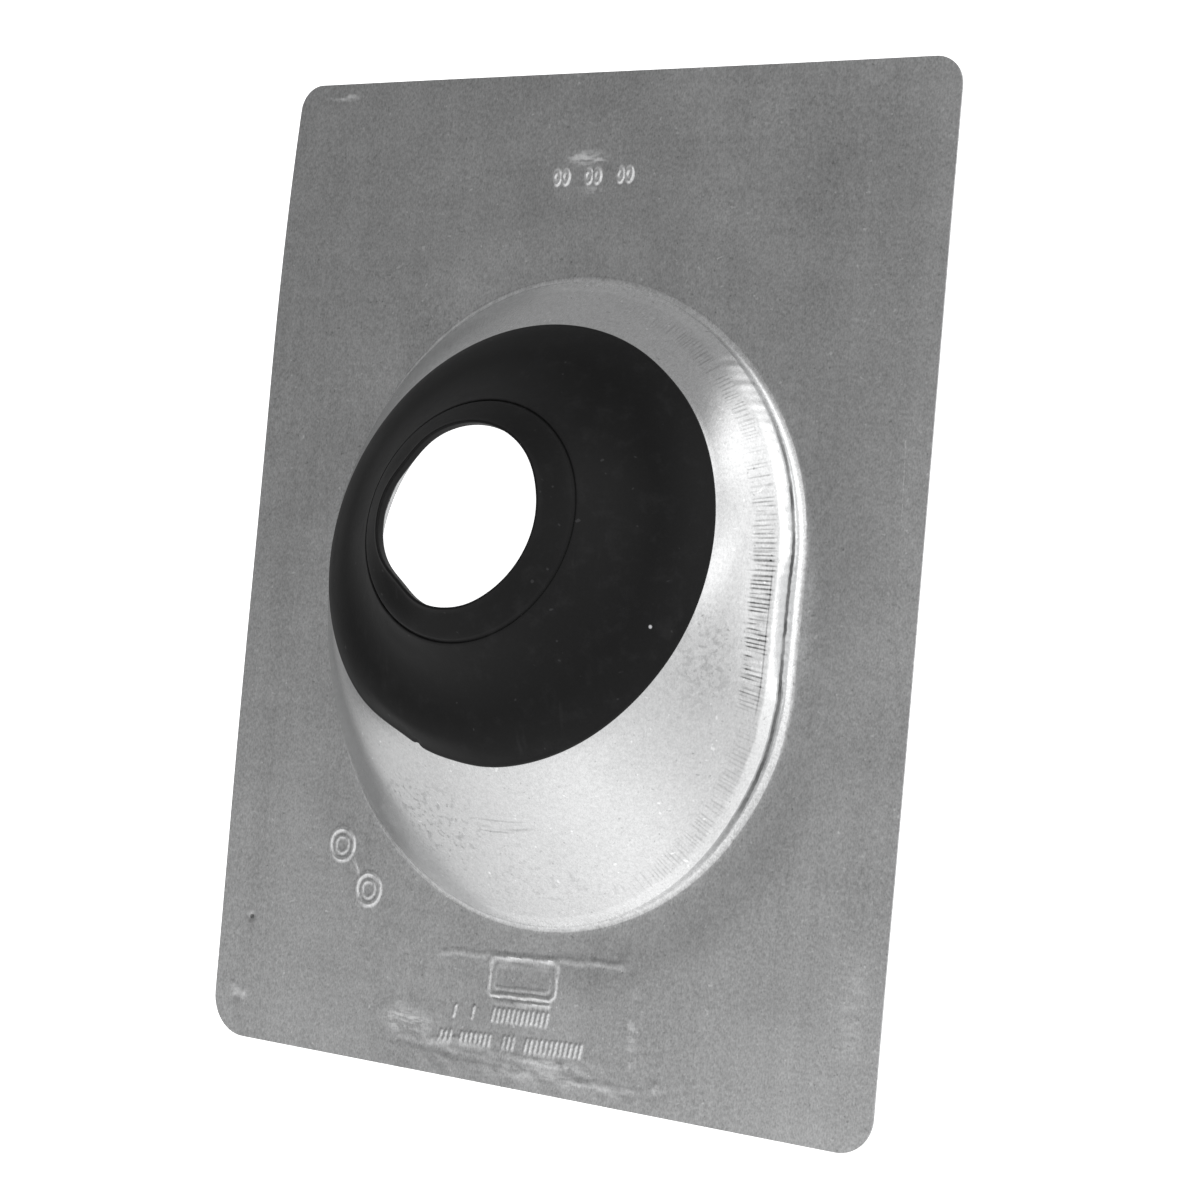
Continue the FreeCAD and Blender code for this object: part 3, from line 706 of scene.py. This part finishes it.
# ---- mill-finish aluminium: rolled grain, dull and bright specks, rubbed patches
m_metal, nt, bs = mat("mill_aluminium")
bs.inputs["Metallic"].default_value = 1.0
w = Net(nt)
sep = node(nt, "SeparateXYZ", {0: w.co})
flat_part = w.ramp(sep.outputs["Z"], 0.0042, 0.0018)             # 1 on the flange, 0 on the dome
dome_part = w.math("SUBTRACT", 1.0, flat_part)
cloud = w.noise(22.0, 4.0, 0.6)
grain = w.noise(520.0, 2.0, 0.7)
fine = w.noise(1500.0, 1.0, 0.6, stretch=(1.0, 0.55, 1.0))
roll_lines = w.noise(150.0, 2.0, 0.65, stretch=(1.0, 0.018, 1.0))
roll_wide = w.noise(34.0, 2.0, 0.5, stretch=(1.0, 0.10, 1.0), shift=(0.3, 0.1, 0))
cross = w.noise(240.0, 2.0, 0.5, stretch=(0.03, 1.0, 1.0))
speckle = w.math("MULTIPLY_ADD", flat_part, 0.48, 0.52)          # the drawn metal is smoother than the flange
tone = w.math("MULTIPLY_ADD", w.math("MULTIPLY", w.math("SUBTRACT", grain, 0.5), speckle), 0.36, 0.605)
tone = w.math("MULTIPLY_ADD", w.math("MULTIPLY", w.math("SUBTRACT", fine, 0.5), speckle), 0.46, tone)
tone = w.math("MULTIPLY_ADD", w.math("SUBTRACT", cloud, 0.5), 0.12, tone)
tone = w.math("MULTIPLY_ADD", w.math("MULTIPLY", w.math("SUBTRACT", roll_lines, 0.5), flat_part), 0.09, tone)
tone = w.math("MULTIPLY_ADD", w.math("MULTIPLY", w.math("SUBTRACT", roll_wide, 0.5), flat_part), 0.10, tone)
tone = w.math("MULTIPLY_ADD", w.math("MULTIPLY", w.math("SUBTRACT", cross, 0.5), flat_part), 0.06, tone)
# dark and bright flecks
fleck = w.noise(620.0, 1.0, 0.4, shift=(0.7, 0.2, 0.0))
tone = w.math("SUBTRACT", tone, w.math("MULTIPLY", w.ramp(fleck, 0.70, 0.80), 0.16))
fleck2 = w.noise(430.0, 1.0, 0.4, shift=(0.1, 0.9, 0.3))
tone = w.math("MULTIPLY_ADD", w.ramp(fleck2, 0.72, 0.82), 0.22, tone)
# dull spots on the lower front of the dome, thicker on its left
spots = w.ramp(w.noise(330.0, 2.0, 0.6, shift=(0.2, 0.4, 0.1)), 0.53, 0.66)
front = w.math("MAXIMUM", w.spot((-34, -100, 26), (44, 34, 40), 0.8), w.math("MULTIPLY", w.spot((10, -118, 14), (60, 30, 40), 0.9), 0.5))
tone = w.math("SUBTRACT", tone, w.math("MULTIPLY", w.math("MULTIPLY", spots, front), 0.13))
side_zone = w.spot((88, -26, 30), (20, 34, 22), 0.9)
side_spots = w.math("MULTIPLY", side_zone, w.ramp(w.noise(420.0, 2.0, 0.6), 0.46, 0.64))
tone = w.math("SUBTRACT", tone, w.math("MULTIPLY", side_spots, 0.12))
tone = w.math("SUBTRACT", tone, w.math("MULTIPLY", side_zone, 0.04))
# horizontal drag marks on the front of the dome
drag = w.math("MULTIPLY", w.spot((4, -98, 28), (20, 12, 14), 0.6), w.ramp(w.noise(420.0, 1.0, 0.5, stretch=(0.05, 1.0, 1.0)), 0.55, 0.66))
tone = w.math("SUBTRACT", tone, w.math("MULTIPLY", drag, 0.15))
# the wall of the dome: painted highlight bands above the step and round the foot bend, a painted dark band of shade in
# the step, with short draw marks down the slope
wt_ = node(nt, "Attribute", attribute_name="wall_t").outputs["Fac"]
ws_ = node(nt, "Attribute", attribute_name="wall_s").outputs["Fac"]


def wall_noise(per_s, per_t, shift, detail=1.0):
    c_ = node(nt, "CombineXYZ", {0: w.math("MULTIPLY", ws_, 1.0 / per_s), 1: w.math("MULTIPLY", wt_, 1.0 / per_t), 2: shift})
    n_ = node(nt, "TexNoise", {"Vector": c_.outputs[0], "Scale": 1.0, "Detail": detail})
    return n_.outputs["Fac"]


def band(lo, hi, soft, v):
    return w.math("MULTIPLY", w.ramp(v, lo - soft, lo + soft), w.ramp(v, hi + soft, hi - soft))


is_right = w.ramp(sep.outputs["X"], 0.02, 0.06)
px_y = sep.outputs["Y"]
wob_t = w.math("MULTIPLY_ADD", w.math("SUBTRACT", wall_noise(9.0, 60.0, 0.0, 3.0), 0.5), 2.0, wt_)
wob_2 = w.math("MULTIPLY_ADD", w.math("SUBTRACT", wall_noise(5.0, 60.0, 4.0, 3.0), 0.5), 1.6, wt_)
painted_highlight_band = w.math("MAXIMUM", band(-1.1, 4.6, 0.7, wob_t), band(-8.6, -3.2, 0.35, wob_2))
ends = band(-0.088, 0.062, 0.024, px_y)                          # strongest along the two long sides
highlight_on_sides = band(-0.068, 0.062, 0.024, px_y)
# painted highlight: the colour is lightened in bands above the step's corner and round the foot bend, most along the
# long sides; these bands are also made a little less rough
tone = w.math("MULTIPLY_ADD", w.math("MULTIPLY", painted_highlight_band, w.math("MULTIPLY_ADD", highlight_on_sides, 0.85, 0.15)), 0.28, tone)
# painted shade: a dark band in the step below its corner, along the long sides and further along on the right, of
# varying depth
painted_step_shade = w.math("MULTIPLY", band(-3.3, -1.0, 0.3, wob_2), ends)
painted_step_shade = w.math("MAXIMUM", painted_step_shade, w.math("MULTIPLY", w.math("MULTIPLY", band(-4.4, -2.6, 0.3, wob_2), band(-0.066, -0.034, 0.004, px_y)), is_right))
step_shade_depth = w.ramp(wall_noise(16.0, 60.0, 7.0, 1.0), 0.30, 0.62, 0.16, 0.44)
tone = w.math("SUBTRACT", tone, w.math("MULTIPLY", painted_step_shade, step_shade_depth))
phase = w.math("MULTIPLY_ADD", wall_noise(9.0, 900.0, 2.0, 1.0), 16.0, w.math("MULTIPLY", ws_, 2 * math.pi / 1.8))
dash_n = w.math("MULTIPLY", w.ramp(w.math("SINE", phase), -0.1, 0.75), w.ramp(wall_noise(2.4, 16.0, 5.0, 1.0), 0.34, 0.56))
dash_lo = w.math("MULTIPLY_ADD", w.math("SUBTRACT", wall_noise(7.0, 80.0, 9.0, 2.0), 0.5), 6.0, wt_)
zone_a = w.math("MULTIPLY", band(-0.040, 0.050, 0.010, px_y), band(6.2, 15.0, 1.2, dash_lo))
zone_b = w.math("MULTIPLY", w.math("MULTIPLY", band(-0.118, -0.052, 0.012, px_y), band(3.6, 12.0, 1.6, dash_lo)), 0.24)
zone_c = w.math("MULTIPLY", w.math("MULTIPLY", band(0.058, 0.105, 0.010, px_y), band(6.5, 13.0, 1.2, dash_lo)), 0.36)
dense = w.ramp(px_y, 0.026, 0.004, 0.50, 1.0)
zone = w.math("ADD", w.math("ADD", w.math("MULTIPLY", zone_a, dense), zone_b), zone_c)
zone = w.math("MULTIPLY", zone, w.math("MULTIPLY_ADD", is_right, 0.55, 0.45))
dash = w.math("MULTIPLY", dash_n, zone, clamp=True)
tone = w.math("SUBTRACT", tone, w.math("MULTIPLY", dash, 0.42))
haze = w.math("MULTIPLY", zone, w.ramp(wall_noise(6.0, 4.0, 3.0, 2.0), 0.40, 0.62))
tone = w.math("SUBTRACT", tone, w.math("MULTIPLY", haze, 0.07))
# painted shade along the fine crease at the lower end of the draw marks, on the right
painted_crease_shade = w.math("MULTIPLY", w.math("MULTIPLY", band(6.5, 7.1, 0.25, wt_), band(-0.045, 0.008, 0.006, px_y)), is_right)
tone = w.math("SUBTRACT", tone, w.math("MULTIPLY", painted_crease_shade, 0.22))

# rubbed and smeared patches on the flange
streaky = w.ramp(w.noise(360.0, 2.0, 0.6, stretch=(0.35, 1.0, 1.0), shift=(0.4, 0, 0)), 0.38, 0.62)
rub = w.math("MULTIPLY", w.spot((-4, 168.6, 1), (13, 4.2, 6), 0.7), 0.9)
for c_, r_m, k_ in (((-1, 155.5, 1), (9, 3.6, 6), 0.6), ((-57, -184, 1), (17, 7.5, 6), 1.0), ((16, -191.5, 1), (26, 3.5, 6), 0.6), ((52, -172, 1), (3.4, 22, 6), 0.6),
                    ((-60, -176, 1), (5, 8, 6), 0.35), ((-146, -184, 1), (8, 8, 6), 0.5), ((-131, 197.6, 1), (12, 2.6, 6), 0.8), ((14, -196, 1), (50, 5.5, 6), 0.55),
                    ((146, -150, 1), (10, 30, 6), 0.25)):
    rub = w.math("MAXIMUM", rub, w.math("MULTIPLY", w.spot(c_, r_m, 0.8), k_))
rub = w.math("MULTIPLY", rub, streaky)
tone = w.math("MULTIPLY_ADD", rub, 0.40, tone)
# scratches
bright = None
for p_, q_, h_ in (((104, -124, 1.2), (112.5, -124.2, 1.2), 0.35), ((133, -94, 1.2), (147.6, -94.2, 1.2), 0.35), ((124.3, -203, 1.2), (124.8, -198, 1.2), 0.4),
                   ((-118, 198, 1.2), (-120, 160, 1.2), 0.5), ((88.5, -92.5, 1.2), (94.5, -98.5, 1.2), 0.5), ((60, 128, 1.2), (63, 129, 1.2), 0.5),
                   ((148, 60, 1.2), (149, 30, 1.2), 0.3), ((-35, 140, 1.2), (-34, 138, 1.2), 0.7), ((-108, 86, 1.2), (-90, 88, 1.2), 0.25)):
    m_ = w.line(p_, q_, h_)
    bright = m_ if bright is None else w.math("MAXIMUM", bright, m_)
broken = w.ramp(w.noise(700.0, 2.0, 0.6, shift=(0.9, 0.9, 0.2)), 0.36, 0.56)
bright = w.math("MULTIPLY", bright, broken)
tone = w.math("MULTIPLY_ADD", bright, 0.26, tone)
# the tops of the raised marks are lighter, in patches
raised_tops = node(nt, "Attribute", attribute_name="raised").outputs["Fac"]
tone = w.math("MULTIPLY_ADD", w.math("MULTIPLY", raised_tops, w.ramp(w.noise(300.0, 2.0, 0.6, shift=(0.8, 0.3, 0.2)), 0.34, 0.50)), 0.24, tone)
# painted shade in the pit on the left of the flange
pit = w.spot((-142.3, -152.3, 0.8), (1.7, 1.3, 3), 0.5)
tone = w.math("SUBTRACT", tone, w.math("MULTIPLY", pit, 0.35))
col = node(nt, "CombineXYZ", {0: w.math("MULTIPLY", tone, 0.995), 1: tone, 2: w.math("MULTIPLY", tone, 1.004)})
nt.links.new(col.outputs[0], bs.inputs["Base Color"])
rough = w.math("MULTIPLY_ADD", w.math("SUBTRACT", cloud, 0.5), 0.10, 0.21)
rough = w.math("MULTIPLY_ADD", flat_part, 0.10, rough)
rough = w.math("SUBTRACT", rough, w.math("MULTIPLY", painted_highlight_band, 0.06))
rough = w.math("MULTIPLY_ADD", rub, 0.12, rough)
rough = w.math("MULTIPLY_ADD", w.math("MULTIPLY", spots, front), 0.12, rough)
nt.links.new(rough, bs.inputs["Roughness"])
h1 = w.math("MULTIPLY_ADD", grain, 0.55, w.math("MULTIPLY", fine, 0.35))
h1 = w.math("MULTIPLY_ADD", w.math("MULTIPLY", roll_lines, flat_part), 0.5, h1)
bump_n = node(nt, "Bump", {"Height": h1, "Strength": 0.5, "Distance": 0.00008})
nt.links.new(bump_n.outputs[0], bs.inputs["Normal"])
o_metal.data.materials.append(m_metal)

# ---- black elastomer: satin skin, faint dust and rub marks, fine moulding grain
m_rub, nt, bs = mat("black_elastomer")
w = Net(nt)
cloud = w.noise(38.0, 4.0, 0.6)
grain = w.noise(900.0, 2.0, 0.6)
dust = w.ramp(w.noise(120.0, 5.0, 0.7, shift=(0.5, 0.1, 0.2)), 0.48, 0.75)
tone = w.math("MULTIPLY_ADD", cloud, 0.003, 0.0015)
tone = w.math("MULTIPLY_ADD", grain, 0.003, tone)
tone = w.math("MULTIPLY_ADD", dust, 0.006, tone)
speck = w.ramp(w.noise(420.0, 0.0, 0.4, shift=(0.3, 0.8, 0.1)), 0.82, 0.88)
tone = w.math("MULTIPLY_ADD", speck, 0.02, tone)
fleck = w.spot((73.9, -16.5, 47.6), (0.8, 1.0, 3.0), 0.5)
tone = w.math("MULTIPLY_ADD", fleck, 0.5, tone)
scuff = w.math("MULTIPLY", w.ramp(w.noise(300.0, 2.0, 0.6, stretch=(1, 0.2, 0.2)), 0.56, 0.7), w.ramp(cloud, 0.5, 0.7))
tone = w.math("MULTIPLY_ADD", scuff, 0.006, tone)
col = node(nt, "CombineXYZ", {0: tone, 1: tone, 2: w.math("MULTIPLY", tone, 1.03)})
nt.links.new(col.outputs[0], bs.inputs["Base Color"])
rough = w.math("MULTIPLY_ADD", cloud, 0.16, 0.40)
rough = w.math("MULTIPLY_ADD", dust, 0.10, rough)
nt.links.new(rough, bs.inputs["Roughness"])
bs.inputs["Specular IOR Level"].default_value = 0.16
hgt_ = w.math("MULTIPLY_ADD", grain, 0.6, w.math("MULTIPLY", w.noise(260.0, 2.0, 0.5), 0.5))
bump_n = node(nt, "Bump", {"Height": hgt_, "Strength": 0.5, "Distance": 0.0001})
nt.links.new(bump_n.outputs[0], bs.inputs["Normal"])
o_collar.data.materials.append(m_rub)

# ---------------------------------------------------------- floor and light
fm = bpy.data.meshes.new("floor")
fm.from_pydata([(-4, -4, -0.0002), (4, -4, -0.0002), (4, 4, -0.0002), (-4, 4, -0.0002)], [], [(0, 1, 2, 3)])
floor = bpy.data.objects.new("floor", fm)
scene.collection.objects.link(floor)
m_floor, nt, bs = mat("pale_floor")
bs.inputs["Base Color"].default_value = (0.86, 0.86, 0.86, 1)
bs.inputs["Roughness"].default_value = 0.9
bs.inputs["Specular IOR Level"].default_value = 0.1
bs.inputs["Emission Color"].default_value = (1, 1, 1, 1)
bs.inputs["Emission Strength"].default_value = 0.95
fm.materials.append(m_floor)
floor.visible_glossy = False                # the metal shows the studio in its gloss, not the table


world = bpy.data.worlds.new("studio")
scene.world = world
world.use_nodes = True
nt = world.node_tree
nt.nodes.clear()
w_out = nt.nodes.new("ShaderNodeOutputWorld")
bg = nt.nodes.new("ShaderNodeBackground")
nt.links.new(bg.outputs[0], w_out.inputs[0])
w_tc = nt.nodes.new("ShaderNodeTexCoord")


def toward(az, el):
    a, e = math.radians(az), math.radians(el)
    return (math.cos(a) * math.cos(e), math.sin(a) * math.cos(e), math.sin(e))


def w_math(op, a, b=None, c=None):
    n = nt.nodes.new("ShaderNodeMath")
    n.operation = op
    for i, v in enumerate((a, b, c)):
        if v is None:
            continue
        if isinstance(v, bpy.types.NodeSocket):
            nt.links.new(v, n.inputs[i])
        else:
            n.inputs[i].default_value = v
    return n.outputs[0]


def w_dot(direction):
    n = nt.nodes.new("ShaderNodeVectorMath")
    n.operation = "DOT_PRODUCT"
    nt.links.new(w_tc.outputs["Generated"], n.inputs[0])
    n.inputs[1].default_value = direction
    return n.outputs["Value"]


def w_lobe(direction, level, width):
    """A soft light in the surroundings: level * exp((d.direction - 1) / width)."""
    e = w_math("EXPONENT", w_math("DIVIDE", w_math("SUBTRACT", w_dot(direction), 1.0), width))
    return w_math("MULTIPLY", e, level)


# a white studio with its dark side behind and to the left of the object
DARK = (140, 14, 0.33, 0.5, 0.425, 0.937)
m = nt.nodes.new("ShaderNodeMapRange")
m.interpolation_type = "SMOOTHSTEP"
nt.links.new(w_dot(toward(*DARK[:2])), m.inputs["Value"])
m.inputs["From Min"].default_value, m.inputs["From Max"].default_value = DARK[2:4]
m.inputs["To Min"].default_value, m.inputs["To Max"].default_value = DARK[5], DARK[4]
total = m.outputs["Result"]
for az, el, level, width in ((57, 22, 0.90, 0.02), (16, 38, 0.80, 0.03), (38, 6, 0.66, 0.06), (4, 2, 0.45, 0.04), (-88, 22, 0.42, 0.08), (-118, 10, 0.16, 0.05), (-60, -10, 0.46, 0.08),
                             (-163, 48, 0.42, 0.022), (176, 56, -0.33, 0.06), (155, 77, 0.6, 0.010), (-170, 5, -0.20, 0.06)):
    total = w_math("ADD", total, w_lobe(toward(az, el), level, width))
nt.links.new(total, bg.inputs["Strength"])
bg.inputs["Color"].default_value = (1.0, 1.0, 1.0, 1)
scene.view_settings.view_transform = "Standard"
